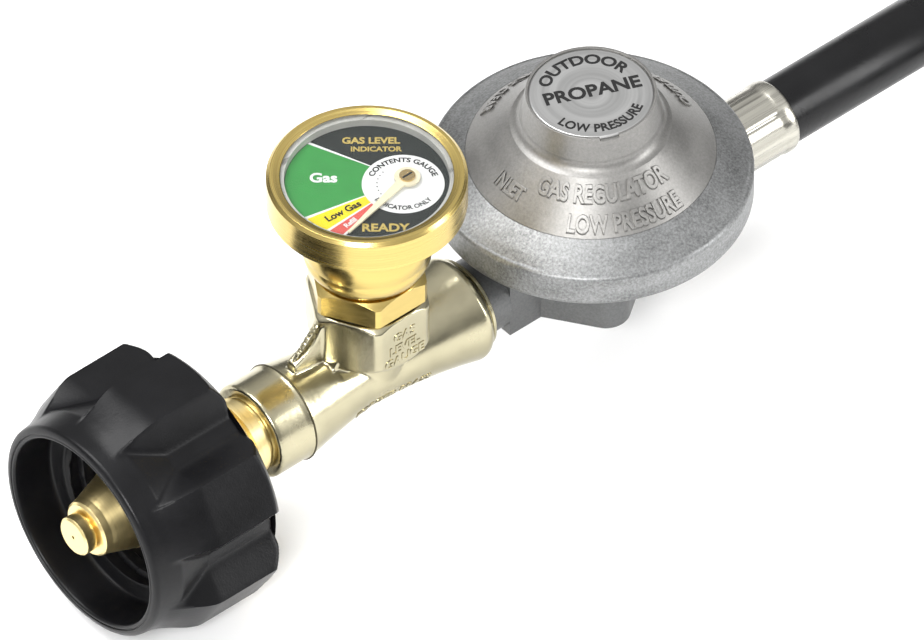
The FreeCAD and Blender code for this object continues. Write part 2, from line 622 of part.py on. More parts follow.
def adjusting_screw():
    """Threaded plug that loads the spring, turned with a hexagon key from above."""
    plug = spun([(2.0, 33.5), (SCREW_R - 0.5, 33.5), (SCREW_R, 34.0), (SCREW_R, 36.3), (2.0, 36.3)], REG_X)
    return plug.cut(hexagon(8.0, 34.6, 36.3, REG_X))


def cap_disc():
    return spun([(0, 37.0), (CAP_R, 37.0), (CAP_R, 37.6), (CAP_R - 0.4, 37.8), (0, 37.8)], REG_X)


def inlet_filter():
    return turned([(SPIGOT_END_X + 0.6, 0), (SPIGOT_END_X + 0.6, 4.5), (109.6, 4.5), (109.6, 0)])


def inlet_nozzle():
    """Brass orifice that the valve pad closes."""
    return turned([(109.8, 1.0), (109.8, 4.6), (115.6, 4.6), (115.6, 2.4), (NOZZLE_END_X, 1.7),
                   (NOZZLE_END_X, 1.0)])


def valve_pad():
    low = NOZZLE_END_X + VALVE_GAP
    return pipe_rod(1.9, low, low + 1.2)


def valve_plunger():
    low = NOZZLE_END_X + VALVE_GAP + 1.2
    body = pipe_rod(PLUNGER_R, low, 126.4)
    slot = block((LEVER_PIVOT_X - 0.9, -1.2, -PLUNGER_R), (LEVER_PIVOT_X + 0.9, 1.2, 1.1))
    return body.cut(slot)


def lever():
    """Bell crank: a short arm up into the plunger's slot and a long arm up to the stem's window."""
    px = LEVER_PIVOT_X
    pz = LEVER_PIVOT_Z
    short_arm = blade([(px - 0.5, pz), (px - 0.5, 0.2), ((px, 0.7), (px + 0.5, 0.2)), (px + 0.5, pz)], 0.8)
    long_arm = blade([(px, pz - 0.8), (px + 4.6, pz - 0.4), (REG_X - 2.6, LEVER_TIP_Z - 0.5),
                      (REG_X + 2.0, LEVER_TIP_Z - 0.5), (REG_X + 2.0, LEVER_TIP_Z + 0.5),
                      (REG_X - 3.2, LEVER_TIP_Z + 0.5), (px + 4.0, pz + 0.8), (px, pz + 0.8)], 0.8)
    eye = rod(1.4, Vector(px, -0.8, pz), ACROSS, 1.6)
    hole = rod(0.75, Vector(px, -0.8, pz), ACROSS, 1.6)
    return short_arm.fuse([long_arm, eye]).cut(hole).removeSplitter()


def lever_pin():
    return rod(0.7, Vector(LEVER_PIVOT_X, -3.7, LEVER_PIVOT_Z), ACROSS, 7.4)


# ---- Outlet ----
def hose_barb(low_x, high_x, z, first_barb):
    """Turned brass tail with three barbs, from its root to its open end."""
    outline = [(low_x, 2.6), (low_x, 5.0), (first_barb - 0.2, 5.0), (first_barb - 0.2, HOSE_BORE_R - 0.6)]
    step = (high_x - first_barb) / 3
    for k in range(3):
        start = first_barb + step * k
        outline.append((start + 0.2, HOSE_BORE_R - 0.6))
        outline.append((start + 0.8, HOSE_BORE_R))
        outline.append((start + step, HOSE_BORE_R - 0.6))
    outline.append((high_x, 2.6))
    return turned(outline, 0.0, z)


def outlet_tail():
    """Barbed tail screwed into the regulator, with a collar between its outlet and the ferrule."""
    collar = turned([(OUTLET_FACE_X + 0.2, 5.0), (OUTLET_FACE_X + 0.2, 5.4), (OUTLET_FACE_X + 0.6, 5.8),
                     (FERRULE_START_X, 5.8), (FERRULE_START_X, 5.0)], 0.0, HOSE_Z)
    return hose_barb(147.0, FERRULE_END_X - 2.0, HOSE_Z, FERRULE_START_X + 1.0).fuse(collar).removeSplitter()


def crimped_ferrule(low_x, high_x, y, z):
    """Thin sleeve squeezed on the hose, with a rolled lip at the hose end."""
    return turned([(low_x, 5.0), (low_x, FERRULE_R - 0.6), (low_x + 0.6, FERRULE_R),
                   (low_x + 3.4, FERRULE_R), (low_x + 4.6, 7.5), (high_x - 3.4, 7.5),
                   (high_x - 2.6, FERRULE_R), (high_x - 0.6, FERRULE_R), (high_x, FERRULE_R - 0.5),
                   (high_x, 6.9), (low_x + 0.8, 6.9), (low_x + 0.8, 5.0)], y, z)


def outlet_ferrule():
    return crimped_ferrule(FERRULE_START_X, FERRULE_END_X, 0.0, HOSE_Z)


def hose_root():
    """The end of the hose that the ferrule grips on the barb."""
    return turned([(FERRULE_START_X + 0.8, HOSE_BORE_R), (FERRULE_START_X + 0.8, 6.9), (FERRULE_END_X, 6.9),
                   (FERRULE_END_X, HOSE_BORE_R)], 0.0, HOSE_Z)


# ---- Hose ----
# Route of the free hose to the start of its coil. It sags to the floor and swings to the coil's far side.
HOSE_ROUTE = [(FERRULE_END_X, 0.0, HOSE_Z), (211.0, 0.0, HOSE_Z), (238.0, 5.5, -6.4), (262.5, 16.8, -15.5),
              (290.4, COIL_HIGH_Y, HOSE_FLOOR_Z), (COIL_X, COIL_HIGH_Y, HOSE_FLOOR_Z)]


def corner_radius(before, corner, after):
    """Largest arc that a corner's two runs allow."""
    first = corner - before
    second = after - corner
    half_turn = first.getAngle(second) / 2
    return 0.45 * min(first.Length, second.Length) / math.tan(half_turn), half_turn


def hose_path(points):
    """Straight runs joined by tangent arcs through a list of points."""
    edges = []
    start = points[0]
    for before, corner, after in zip(points, points[1:], points[2:]):
        radius, half_turn = corner_radius(before, corner, after)
        reach = radius * math.tan(half_turn)
        enter = corner - (corner - before).normalize() * reach
        leave = corner + (after - corner).normalize() * reach
        inward = ((before - corner).normalize() + (after - corner).normalize()).normalize()
        middle = corner + inward * (radius / math.cos(half_turn) - radius)
        edges.append(Part.LineSegment(start, enter).toShape())
        edges.append(Part.Arc(enter, middle, leave).toShape())
        start = leave
        print(f"hose corner radius {radius:.0f} mm, turn {math.degrees(2 * half_turn):.1f} degrees")
    edges.append(Part.LineSegment(start, points[-1]).toShape())
    return Part.Wire(edges)


def hose_lead():
    points = [Vector(*p) for p in HOSE_ROUTE]
    path = hose_path(points)
    section = Part.Wire(Part.makeCircle(HOSE_R, points[0], points[1] - points[0]))
    tube = path.makePipeShell([section], True, True)
    ratio = tube.Volume / (math.pi * HOSE_R ** 2 * path.Length)
    print(f"hose lead length {path.Length:.1f} mm, volume ratio {ratio:.4f}")
    return tube


def coil_side(side, low_y, high_y):
    """Half of the coil, on one side of x = COIL_X, whose centre line runs between two levels in Y."""
    middle_y = (low_y + high_y) / 2
    outer = (high_y - low_y) / 2 + HOSE_R
    inner = (high_y - low_y) / 2 - HOSE_R
    outline = [(COIL_X, middle_y - outer), ((COIL_X + side * outer, middle_y), (COIL_X, middle_y + outer)),
               (COIL_X, middle_y + inner), ((COIL_X + side * inner, middle_y), (COIL_X, middle_y - inner))]
    return plate(outline, FLOOR_Z, FLOOR_Z + 2 * HOSE_R)


def hose_coil():
    """Outer shape of the hose's turn on the floor: a wide half circle, then a tighter one inside it."""
    low = COIL_HIGH_Y - 2 * OUTER_TURN_R
    wide = coil_side(1, low, COIL_HIGH_Y)
    tight = coil_side(-1, low, low + 2 * INNER_TURN_R)
    return wide.fuse(tight).removeSplitter()


# ---- Fittings at the hose's far end, inside the coil ----
END_Y = COIL_HIGH_Y - 2 * OUTER_TURN_R + 2 * INNER_TURN_R


def to_hose_end(shape):
    """Bring a piece made back from x = 0 along -X to the end of the coil, pointing along +X."""
    placed = shape.copy()
    placed.rotate(Vector(0, 0, 0), UP, 180)
    placed.translate(Vector(COIL_X, END_Y, FITTING_Z))
    return placed


def end_ferrule():
    return to_hose_end(crimped_ferrule(-END_FERRULE_LENGTH, 0.0, 0.0, 0.0))


def end_hose_root():
    """The end of the hose that the far ferrule grips."""
    start = 0.8 - END_FERRULE_LENGTH
    return to_hose_end(turned([(start, HOSE_BORE_R), (start, 6.9), (0, 6.9), (0, HOSE_BORE_R)]))


def end_tail():
    """Barbed tail with the collar and 45 degree nose that the swivel nut pulls on."""
    root = -END_FERRULE_LENGTH
    barbs = hose_barb(root - 8.0, -2.0, 0.0, root + 1.0)
    nose = turned([(root - 13.6, 2.6), (root - 13.6, 4.0), (root - 11.0, 6.6), (root - 8.0, 6.6),
                   (root - 8.0, 2.6)])
    return to_hose_end(barbs.fuse(nose).removeSplitter())


def swivel_nut():
    """Flare nut that turns freely on the tail."""
    root = -END_FERRULE_LENGTH
    corner_r = END_NUT_FLATS / math.sqrt(3)
    flats_r = END_NUT_FLATS / 2
    mouth_x = root - 22.0
    back_x = root - 6.5
    turns = [math.radians(60 * k) for k in range(6)]
    spots = [Vector(mouth_x, corner_r * math.cos(turn), corner_r * math.sin(turn)) for turn in turns]
    bar = Part.Face(Part.makePolygon(spots + spots[:1])).extrude(ALONG * (back_x - mouth_x))
    chamfers = turned([(mouth_x, 0), (mouth_x, flats_r), (mouth_x + 1.0, corner_r), (back_x - 1.0, corner_r),
                       (back_x, flats_r), (back_x, 0)])
    bore = turned([(mouth_x, 0), (mouth_x, FLARE_THREAD_R), (root - 13.8, FLARE_THREAD_R),
                   (root - 13.8, 7.6), (root - 7.9, 7.6), (root - 7.9, 5.06), (back_x, 5.06), (back_x, 0)])
    return to_hose_end(bar.common(chamfers).cut(bore))


PIECES = [handwheel_nut, thermal_bushing, nut_retaining_ring, inlet_nipple, probe_tip, limiter_poppet,
          limiter_spring, limiter_seat, tee_body, tee_end_ring, gauge_seal_washer, gauge_case, gauge_bezel,
          lens_gasket, gauge_lens, dial_plate, pointer, pointer_hub, pinion_arbor, sector_gear, sector_arbor,
          tip_link, movement_plate_lower, movement_plate_upper, movement_pillars, tube_socket, bourdon_tube,
          regulator_body, bonnet, diaphragm, diaphragm_plate, diaphragm_stem, stem_nut, main_spring,
          spring_washer, adjusting_screw, cap_disc, inlet_filter, inlet_nozzle, valve_pad, valve_plunger,
          lever, lever_pin, outlet_tail, outlet_ferrule, hose_root, hose_lead, hose_coil, end_ferrule,
          end_hose_root, end_tail, swivel_nut]

os.makedirs("parts", exist_ok=True)
for make_piece in PIECES:
    export(make_piece.__name__, make_piece())
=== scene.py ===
import math
import random

import bmesh
import bpy
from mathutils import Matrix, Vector
from mathutils.bvhtree import BVHTree


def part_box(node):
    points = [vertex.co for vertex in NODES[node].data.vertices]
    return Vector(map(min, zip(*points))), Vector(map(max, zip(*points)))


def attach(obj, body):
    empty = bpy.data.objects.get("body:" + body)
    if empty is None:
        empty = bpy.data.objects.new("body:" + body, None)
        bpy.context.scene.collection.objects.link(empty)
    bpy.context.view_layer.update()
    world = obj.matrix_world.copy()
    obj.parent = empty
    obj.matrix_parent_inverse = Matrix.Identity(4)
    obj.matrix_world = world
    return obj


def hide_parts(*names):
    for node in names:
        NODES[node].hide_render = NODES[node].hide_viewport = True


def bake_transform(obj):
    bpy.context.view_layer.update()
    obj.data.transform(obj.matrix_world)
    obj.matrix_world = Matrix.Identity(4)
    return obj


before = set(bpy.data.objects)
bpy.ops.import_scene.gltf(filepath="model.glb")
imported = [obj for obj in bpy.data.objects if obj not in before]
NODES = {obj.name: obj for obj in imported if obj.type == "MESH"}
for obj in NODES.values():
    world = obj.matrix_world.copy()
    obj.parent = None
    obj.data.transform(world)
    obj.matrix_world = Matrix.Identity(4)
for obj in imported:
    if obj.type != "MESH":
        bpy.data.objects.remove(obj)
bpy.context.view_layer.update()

# Lengths below are millimetres in pipe coordinates: X from the inlet probe's tip towards the hose,
# Z up from the pipe's axis. at() turns them into the frame's metres.
MM = 0.001
TIP_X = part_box("probe_tip")[0].x
AXIS_Z = (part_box("handwheel_nut")[0].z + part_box("handwheel_nut")[1].z) / 2
FLOOR_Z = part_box("handwheel_nut")[0].z


def at(x, y, z):
    """A point given in pipe millimetres, in the frame's metres."""
    return Vector((TIP_X + x * MM, y * MM, AXIS_Z + z * MM))


def in_pipe(point):
    """A frame point in pipe millimetres."""
    return Vector(((point.x - TIP_X) / MM, point.y / MM, (point.z - AXIS_Z) / MM))


def middle_of(node):
    low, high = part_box(node)
    return in_pipe((low + high) / 2)


GAUGE_X = middle_of("gauge_bezel").x
REG_X = middle_of("bonnet").x
DIAL_TOP_Z = in_pipe(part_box("dial_plate")[1]).z
CAP_TOP_Z = in_pipe(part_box("cap_disc")[1]).z


# ---- Node materials ----
class Look:
    """A procedural material while it is being put together."""

    def __init__(self, name, colour, roughness, metallic=0.0):
        self.material = bpy.data.materials.new(name)
        self.material.use_nodes = True
        self.tree = self.material.node_tree
        self.shader = self.tree.nodes["Principled BSDF"]
        self.colour = colour
        self.shader.inputs["Base Color"].default_value = (*colour, 1)
        self.shader.inputs["Roughness"].default_value = roughness
        self.shader.inputs["Metallic"].default_value = metallic
        self.roughness = roughness
        self.place = self.tree.nodes.new("ShaderNodeTexCoord").outputs["Object"]
        self.last_bump = None

    def link(self, source, target):
        self.tree.links.new(source, target)

    def math(self, kind, first, second=None):
        node = self.tree.nodes.new("ShaderNodeMath")
        node.operation = kind
        for socket, value in zip(node.inputs, (first, second)):
            if value is None:
                continue
            if isinstance(value, (int, float)):
                socket.default_value = value
            else:
                self.link(value, socket)
        return node.outputs[0]

    def stretched(self, x, y, z):
        """Object coordinates scaled along each axis, in features per metre."""
        node = self.tree.nodes.new("ShaderNodeMapping")
        node.inputs["Scale"].default_value = (x, y, z)
        self.link(self.place, node.inputs["Vector"])
        return node.outputs[0]

    def round_axis(self, axis, centre, along, outward, across):
        """Coordinates that stay the same on a circle round an axis, so noise becomes lathe lines."""
        split = self.tree.nodes.new("ShaderNodeSeparateXYZ")
        self.link(self.place, split.inputs[0])
        sides = [k for k in range(3) if k != axis]
        offsets = [self.math("SUBTRACT", split.outputs[k], centre[k]) for k in sides]
        squares = [self.math("MULTIPLY", offset, offset) for offset in offsets]
        distance = self.math("SQRT", self.math("ADD", *squares))
        join = self.tree.nodes.new("ShaderNodeCombineXYZ")
        self.link(self.math("MULTIPLY", split.outputs[axis], along), join.inputs[0])
        self.link(self.math("MULTIPLY", distance, outward), join.inputs[1])
        self.link(self.math("MULTIPLY", offsets[0], across), join.inputs[2])
        return join.outputs[0]

    def noise(self, vector, scale=1.0, detail=3.0, roughness=0.55):
        node = self.tree.nodes.new("ShaderNodeTexNoise")
        node.inputs["Scale"].default_value = scale
        node.inputs["Detail"].default_value = detail
        node.inputs["Roughness"].default_value = roughness
        self.link(vector, node.inputs["Vector"])
        return node.outputs[0]

    def ramp(self, value, low, high, out_low, out_high):
        node = self.tree.nodes.new("ShaderNodeMapRange")
        for socket, number in zip(node.inputs[1:5], (low, high, out_low, out_high)):
            socket.default_value = number
        self.link(value, node.inputs[0])
        return node.outputs[0]

    def shade(self, value, darker, lighter):
        """Base colour that runs between two tints as the value goes from 0 to 1."""
        node = self.tree.nodes.new("ShaderNodeMix")
        node.data_type = "RGBA"
        self.link(value, node.inputs[0])
        for socket, share in ((node.inputs[6], darker), (node.inputs[7], lighter)):
            socket.default_value = (*[min(1.0, c * share) for c in self.colour], 1)
        self.link(node.outputs[2], self.shader.inputs["Base Color"])

    def rough(self, value, spread):
        """Roughness that varies round its usual value."""
        self.link(self.ramp(value, 0.3, 0.7, self.roughness - spread, self.roughness + spread),
                  self.shader.inputs["Roughness"])

    def soft_edges(self, radius):
        node = self.tree.nodes.new("ShaderNodeBevel")
        node.samples = 4
        node.inputs["Radius"].default_value = radius
        self.last_bump = node.outputs[0]
        self.link(self.last_bump, self.shader.inputs["Normal"])

    def bump(self, height, distance, strength=1.0):
        node = self.tree.nodes.new("ShaderNodeBump")
        node.inputs["Strength"].default_value = strength
        node.inputs["Distance"].default_value = distance
        self.link(height, node.inputs["Height"])
        if self.last_bump:
            self.link(self.last_bump, node.inputs["Normal"])
        self.last_bump = node.outputs[0]
        self.link(self.last_bump, self.shader.inputs["Normal"])

    def worn(self, scale, spread, darker=0.86, lighter=1.08):
        """Broad, faint changes of tone and gloss, as handling leaves."""
        cloud = self.noise(self.place, scale, 4.0)
        self.shade(self.ramp(cloud, 0.35, 0.65, 0.0, 1.0), darker, lighter)
        self.rough(cloud, spread)


def nylon_look(name):
    """Black moulded nylon: satin, with a fine spark-eroded grain."""
    look = Look(name, (0.0035, 0.0035, 0.0042), 0.36)
    look.shader.inputs["Specular IOR Level"].default_value = 0.2
    look.worn(90.0, 0.05, 0.8, 1.25)
    look.bump(look.noise(look.place, 2600.0, 2.0), 0.00005, 0.55)
    look.bump(look.noise(look.place, 240.0, 2.0), 0.00012, 0.35)
    return look.material


def moulded_look(name, colour):
    look = Look(name, colour, 0.45)
    look.worn(150.0, 0.06)
    look.bump(look.noise(look.place, 1500.0, 2.0), 0.00003, 0.4)
    return look.material


def rubber_look(name):
    """Extruded black rubber: semi-gloss, with faint waves and a scatter of dust."""
    look = Look(name, (0.004, 0.004, 0.0045), 0.3)
    look.shader.inputs["Specular IOR Level"].default_value = 0.25
    look.worn(70.0, 0.05, 0.75, 1.3)
    look.bump(look.noise(look.place, 900.0, 3.0), 0.00006, 0.35)
    return look.material


def turned_look(name, colour, roughness, axis, centre, fineness=2400.0, depth=0.00002,
                contrast=0.12):
    """Lathe-turned metal with tool lines round its axis."""
    look = Look(name, colour, roughness, 1.0)
    lines = look.noise(look.round_axis(axis, centre, fineness, fineness, 40.0), 1.0, 3.0)
    look.shade(look.ramp(lines, 0.3, 0.7, 0.0, 1.0), 1 - contrast, 1 + contrast)
    look.rough(lines, contrast / 2)
    look.soft_edges(0.00012)
    look.bump(lines, depth, 0.45)
    return look.material


def metal_look(name, colour, roughness, grain, depth, edge=0.00015):
    """Plain metal with small scratches and a slight grain."""
    look = Look(name, colour, roughness, 1.0)
    look.worn(160.0, 0.05)
    look.soft_edges(edge)
    look.bump(look.noise(look.place, grain, 3.0), depth, 0.5)
    return look.material


def plated_look(name):
    """Nickel-plated brass forging: smooth satin with a warm tint and soft waves."""
    look = Look(name, (0.435, 0.40, 0.275), 0.23, 1.0)
    look.worn(110.0, 0.06, 0.9, 1.06)
    look.bump(look.noise(look.place, 190.0, 2.0), 0.00016, 0.4)
    look.bump(look.noise(look.place, 1500.0, 2.0), 0.00003, 0.35)
    return look.material


def zinc_look(name, colour, roughness, sparkle, painted_shade_below=None):
    """Die-cast zinc with bright specks. Below a height, if given, its colour is painted darker, as painted
    shade under the rim.
    """
    look = Look(name, colour, roughness, 0.85)
    grain = look.noise(look.place, 1900.0, 4.0, 0.7)
    flow = look.noise(look.stretched(60.0, 60.0, 200.0), 1.0, 5.0)
    both = look.math("ADD", look.math("MULTIPLY", grain, sparkle), look.math("MULTIPLY", flow, 1 - sparkle))
    tone = look.ramp(both, 0.35, 0.65, 0.0, 1.0)
    if painted_shade_below:
        # Painted shade: the base colour is darkened below the given height.
        split = look.tree.nodes.new("ShaderNodeSeparateXYZ")
        look.link(look.place, split.inputs[0])
        skin = look.ramp(split.outputs[2], painted_shade_below - 0.001, painted_shade_below, 0.25, 1.0)
        look.shade(look.math("MULTIPLY", tone, skin), 0.36, 1.14)
    else:
        look.shade(tone, 0.78, 1.16)
    look.rough(flow, 0.07)
    look.soft_edges(0.0002)
    look.bump(grain, 0.00005, 0.5)
    return look.material


def paint_look(name, colour, roughness=0.4):
    look = Look(name, colour, roughness)
    look.shader.inputs["Specular IOR Level"].default_value = 0.25
    look.worn(400.0, 0.05, 0.92, 1.05)
    look.bump(look.noise(look.place, 3000.0, 2.0), 0.00001, 0.3)
    return look.material


def lens_look(name):
    """Clear flat glass: nearly see-through, with a faint gloss and a trace of dust."""
    look = Look(name, (0.03, 0.035, 0.035), 0.03)
    look.shader.inputs["Specular IOR Level"].default_value = 1.0
    look.shader.inputs["Coat Weight"].default_value = 1.0
    look.shader.inputs["Alpha"].default_value = 0.13
    look.link(look.ramp(look.noise(look.place, 700.0, 4.0), 0.6, 0.8, 0.03, 0.2),
              look.shader.inputs["Roughness"])
    return look.material


def crimp_look(name):
    """Plated steel sleeve with marks along it from the crimping jaws."""
    look = Look(name, (0.47, 0.455, 0.40), 0.27, 1.0)
    jaws = look.noise(look.stretched(25.0, 900.0, 900.0), 1.0, 3.0)
    look.shade(look.ramp(jaws, 0.35, 0.65, 0.0, 1.0), 0.75, 1.12)
    look.rough(jaws, 0.08)
    look.bump(jaws, 0.00005, 0.4)
    return look.material


PIPE = (0.0, 0.0, AXIS_Z)
GAUGE = tuple(at(GAUGE_X, 0, 0))
DISC = tuple(at(REG_X, 0, 0))
HOSE_END = tuple((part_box("end_tail")[0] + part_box("end_tail")[1]) / 2)

nylon = nylon_look("nylon_black")
rubber = rubber_look("rubber_hose")
seal = moulded_look("rubber_seal", (0.02, 0.02, 0.02))
pale_seal = moulded_look("seal_pale", (0.5, 0.5, 0.47))
bushing = moulded_look("bushing_pale", (0.55, 0.52, 0.46))
pipe_brass = turned_look("brass_pipe", (0.84, 0.68, 0.33), 0.33, 0, PIPE, 2400.0, 0.000001, 0.04)
gauge_brass = turned_look("brass_gauge", (0.55, 0.42, 0.145), 0.25, 2, GAUGE, 3200.0)
cup_brass = turned_look("brass_cup", (0.54, 0.41, 0.14), 0.21, 2, GAUGE, 900.0, 0.000002, 0.05)
end_brass = turned_look("brass_hose_end", (0.76, 0.56, 0.27), 0.28, 0, HOSE_END)
small_brass = metal_look("brass_small", (0.76, 0.57, 0.28), 0.26, 1800.0, 0.00002, 0.00005)
steel = metal_look("steel_bright", (0.56, 0.56, 0.57), 0.3, 1600.0, 0.00002, 0.00005)
bronze = metal_look("bronze_drawn", (0.5, 0.3, 0.14), 0.35, 1500.0, 0.00002, 0.00005)
nickel = plated_look("nickel_plated")
# Painted shadow: dark metal for the shadow line in the groove behind the tee's collar.
painted_groove_shadow = metal_look("painted_groove_shadow", (0.09, 0.08, 0.05), 0.4, 1500.0, 0.00003)
# The bowl gets painted shade below 9.5 mm above the pipe's axis, under its rim.
zinc = zinc_look("zinc_bowl", (0.295, 0.30, 0.30), 0.45, 0.6, AXIS_Z + 0.0095)
dark_zinc = zinc_look("zinc_cover", (0.25, 0.245, 0.235), 0.43, 0.55)
cap_metal = turned_look("aluminium_cap", (0.45, 0.45, 0.445), 0.4, 2, DISC, 900.0, 0.00002)
crimped = crimp_look("crimped_sleeve")
lens = lens_look("lens_clear")
charcoal = paint_look("dial_charcoal", (0.022, 0.026, 0.024))
cream = paint_look("pointer_cream", (0.82, 0.76, 0.55))
white_ink = paint_look("ink_white", (0.86, 0.87, 0.86))
green_ink = paint_look("ink_green", (0.045, 0.30, 0.065))
yellow_ink = paint_look("ink_yellow", (0.92, 0.74, 0.02))
red_ink = paint_look("ink_red", (0.72, 0.12, 0.10))
# Black for print. The same material is also used as painted shade in the hub's slot.
black_print_and_shade = paint_look("ink_black_and_slot_shade", (0.012, 0.012, 0.012), 0.6)
gold_ink = paint_look("ink_gold", (0.55, 0.42, 0.12))

CAD_LOOKS = {
    "handwheel_nut": nylon, "thermal_bushing": bushing, "nut_retaining_ring": steel,
    "inlet_nipple": pipe_brass, "probe_tip": pipe_brass, "limiter_poppet": bushing,
    "limiter_spring": steel, "limiter_seat": small_brass, "tee_body": nickel,
    "tee_end_ring": nickel, "gauge_seal_washer": seal, "gauge_case": cup_brass,
    "gauge_bezel": gauge_brass, "lens_gasket": pale_seal, "gauge_lens": lens,
    "dial_plate": charcoal, "pointer": cream, "pointer_hub": small_brass,
    "pinion_arbor": small_brass, "sector_gear": small_brass, "sector_arbor": steel,
    "tip_link": small_brass, "movement_plate_lower": small_brass,
    "movement_plate_upper": small_brass, "movement_pillars": small_brass,
    "tube_socket": small_brass, "bourdon_tube": bronze, "regulator_body": zinc, "bonnet": dark_zinc,
    "diaphragm": seal, "diaphragm_plate": cap_metal, "diaphragm_stem": small_brass,
    "stem_nut": steel, "main_spring": steel, "spring_washer": steel, "adjusting_screw": dark_zinc,
    "cap_disc": cap_metal, "inlet_filter": bronze, "inlet_nozzle": small_brass, "valve_pad": seal,
    "valve_plunger": small_brass, "lever": steel, "lever_pin": steel, "outlet_tail": small_brass,
    "outlet_ferrule": crimped, "hose_root": rubber, "hose_lead": rubber, "hose_coil": rubber,
    "end_ferrule": crimped, "end_hose_root": rubber, "end_tail": end_brass, "swivel_nut": end_brass}


def dress_cad():
    for name, look in CAD_LOOKS.items():
        NODES[name].data.materials.clear()
        NODES[name].data.materials.append(look)


dress_cad()


def soften_casting(node, voxel, passes):
    """Round a casting's inner and outer corners, as its mould does."""
    cast = NODES[node]
    skin = cast.modifiers.new("skin", "REMESH")
    skin.mode = "VOXEL"
    skin.voxel_size = voxel * MM
    skin.use_smooth_shade = True
    relax = cast.modifiers.new("relax", "CORRECTIVE_SMOOTH")
    relax.factor = 0.5
    relax.iterations = passes
    relax.use_only_smooth = True


soften_casting("tee_body", 0.3, 3)


# ---- Building meshes ----
def add_object(name, data):
    thing = bpy.data.objects.new(name, data)
    bpy.context.scene.collection.objects.link(thing)
    return thing


def add_piece(name, mesh, body, look, sharp=35):
    piece = add_object(name, mesh)
    mesh.materials.clear()
    mesh.materials.append(look)
    mesh.shade_smooth()
    mesh.set_sharp_from_angle(angle=math.radians(sharp))
    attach(piece, body)
    return piece


def ring_mesh(name, rings):
    """Closed skin through rings of points, the last ring joined to the first."""
    count = len(rings[0])
    points = [p for ring in rings for p in ring]
    faces = []
    for i in range(len(rings)):
        first, second = i * count, (i + 1) % len(rings) * count
        for k in range(count):
            after = (k + 1) % count
            faces.append((first + k, first + after, second + after, second + k))
    mesh = bpy.data.meshes.new(name)
    mesh.from_pydata(points, [], faces)
    work = bmesh.new()
    work.from_mesh(mesh)
    bmesh.ops.recalc_face_normals(work, faces=work.faces)
    work.to_mesh(mesh)
    work.free()
    return mesh


def pipe_ring(x, radius_at, count, centre_z=0.0):
    """Points once round a line along X, counted from straight up, at radius_at(turn) from it."""
    ring = []
    for k in range(count):
        turn = 2 * math.pi * k / count
        r = radius_at(turn)
        ring.append(at(x, -r * math.sin(turn), centre_z + r * math.cos(turn)))
    return ring


def blend(low, high, share):
    return low + (high - low) * share


def clamp(value):
    return max(0.0, min(1.0, value))


# ---- Handwheel nut ----
RIM_X = in_pipe(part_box("handwheel_nut")[0]).x
BACK_X = in_pipe(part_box("handwheel_nut")[1]).x
LOBE_R = (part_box("handwheel_nut")[1].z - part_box("handwheel_nut")[0].z) / 2 / MM
RIM_R = 23.3
SKIRT_R = 24.0
VALLEY_DROP = 1.8
GRIP_X = 8.3
GRIP_LENGTH = 7.9
RAMP_X = 5.0
RAMP_LENGTH = 11.4
BACK_TAPER_X = 29.3
BACK_TAPER_R = 28.4
BACK_TAPER_DROP = 3.9
MOUTH_R = 20.8
MOUTH_END_X = 11.5
THREAD_END_X = 26.5
THREAD_PITCH = 5.08
CREST_R = 15.65
ROOT_R = 16.9
NUT_BORE_R = 11.05
EDGE_ROUNDING = 0.9
LOBE_EDGE = math.degrees(math.atan(6.6 / 27.2))
NUT_STEPS = 480


def nut_outside(x, turn):
    """Radius of the nut's outside: a plain skirt, then six flat lobes with scooped valleys between."""
    skirt = blend(RIM_R, SKIRT_R, clamp((x - RIM_X) / (GRIP_X - RIM_X)))
    from_valley = abs(math.degrees(turn) % 60 - 30)
    share = clamp((x - GRIP_X) / GRIP_LENGTH)
    floor = skirt - VALLEY_DROP * share
    floor_edge = blend(13.0, 3.5, share)
    shoulder = 30 - LOBE_EDGE
    ramp = clamp((x - RAMP_X) / RAMP_LENGTH)
    rise = ramp * ramp * (3 - 2 * ramp)
    back = BACK_TAPER_R - BACK_TAPER_DROP * clamp((x - BACK_TAPER_X) / (BACK_X - BACK_TAPER_X)) ** 1.4
    flat = LOBE_R / math.cos(math.radians(30 - max(from_valley, shoulder)))
    top = skirt + (flat - skirt) * rise
    if from_valley >= shoulder:
        return min(top, back)
    if from_valley <= floor_edge:
        return min(floor, back) if x > GRIP_X else skirt
    climb = ((from_valley - floor_edge) / (shoulder - floor_edge)) ** 1.6
    return min(blend(floor, top, climb), back)


def nut_thread(x, turn):
    """Radius of the right-handed thread in the nut, run out at its first turn."""
    phase = ((x - MOUTH_END_X) / THREAD_PITCH - turn / (2 * math.pi)) % 1
    rise = clamp(min(phase, 0.52 - phase) / 0.1 + 0.5)
    lead_in = clamp((x - MOUTH_END_X - 0.3) / 1.2)
    return blend(ROOT_R, CREST_R, rise * lead_in)


